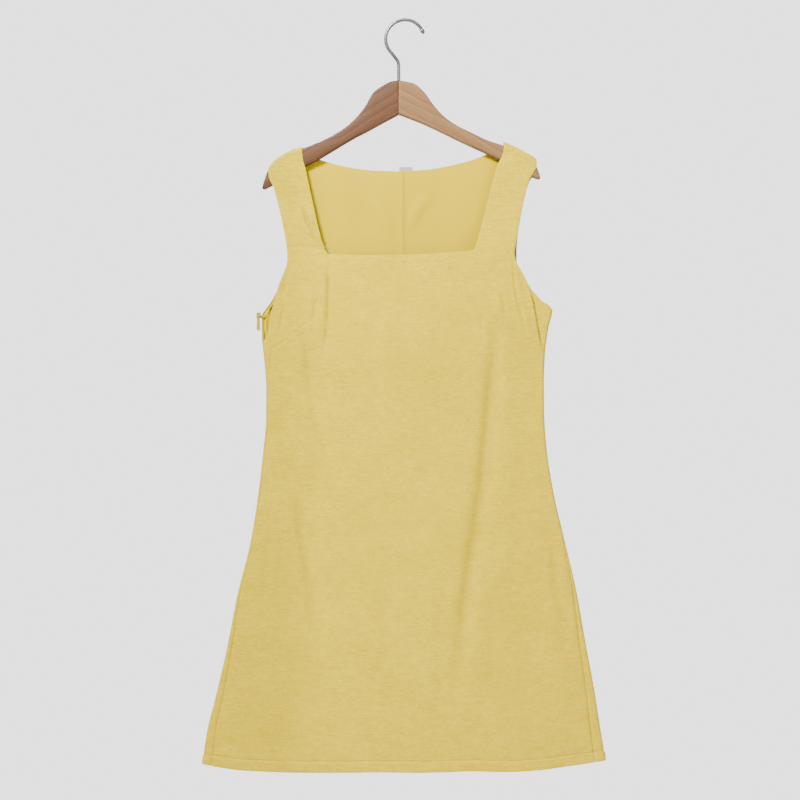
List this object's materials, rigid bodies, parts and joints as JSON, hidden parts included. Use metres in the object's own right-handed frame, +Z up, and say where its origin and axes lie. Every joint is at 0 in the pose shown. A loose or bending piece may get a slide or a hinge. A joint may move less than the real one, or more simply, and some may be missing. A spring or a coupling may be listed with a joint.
{
  "type": "sleeveless mini dress on a wooden hanger",
  "caption": "Sleeveless A-line mini dress with a square front neck and wide straps, lined back and side zip, hanging flat on a wooden hanger with a wire hook.",
  "frame": {"origin": "top of the hook's inside, where it hangs on a rail", "axes": "+Z up, the dress's front faces -Y, +X to the right as seen from the front"},
  "size_m": [0.564, 0.0355, 1.0523],
  "materials": {
    "linen": "slubbed plain weave, pale yellow, matt",
    "lining": "smooth light lining, brighter yellow, soft sheen",
    "zip_coil": "coil and tape dyed to the cloth",
    "zip_lacquer": "lacquer in the cloth's colour",
    "label": "blank woven satin",
    "wood_dark": "clear satin lacquer, reddish",
    "wood_light": "clear satin lacquer, pale",
    "steel": "drawn wire, bright"
  },
  "bodies": {
    "root": {"front": "linen", "front_side_left": "linen", "front_side_right": "linen", "back_left": "linen", "back_right": "linen", "back_side_left": "linen", "back_side_right": "linen", "lining_back_left": "lining", "lining_back_right": "lining", "zip_coil": "zip_coil", "zip_slider": "zip_lacquer", "neck_label": "label", "hanger_arm_left": "wood_dark", "hanger_arm_right": "wood_light", "hanger_hook": "steel"},
    "zip_pull": {"zip_pull": "zip_lacquer"}
  },
  "joints": [
    {"name": "pull_swing", "type": "hinge", "parent": "root", "child": "zip_pull", "pos_m": [-0.2048, -0.0045, -0.413], "axis": [-1, 0, 0], "range_deg": [-10, 160]}
  ]
}
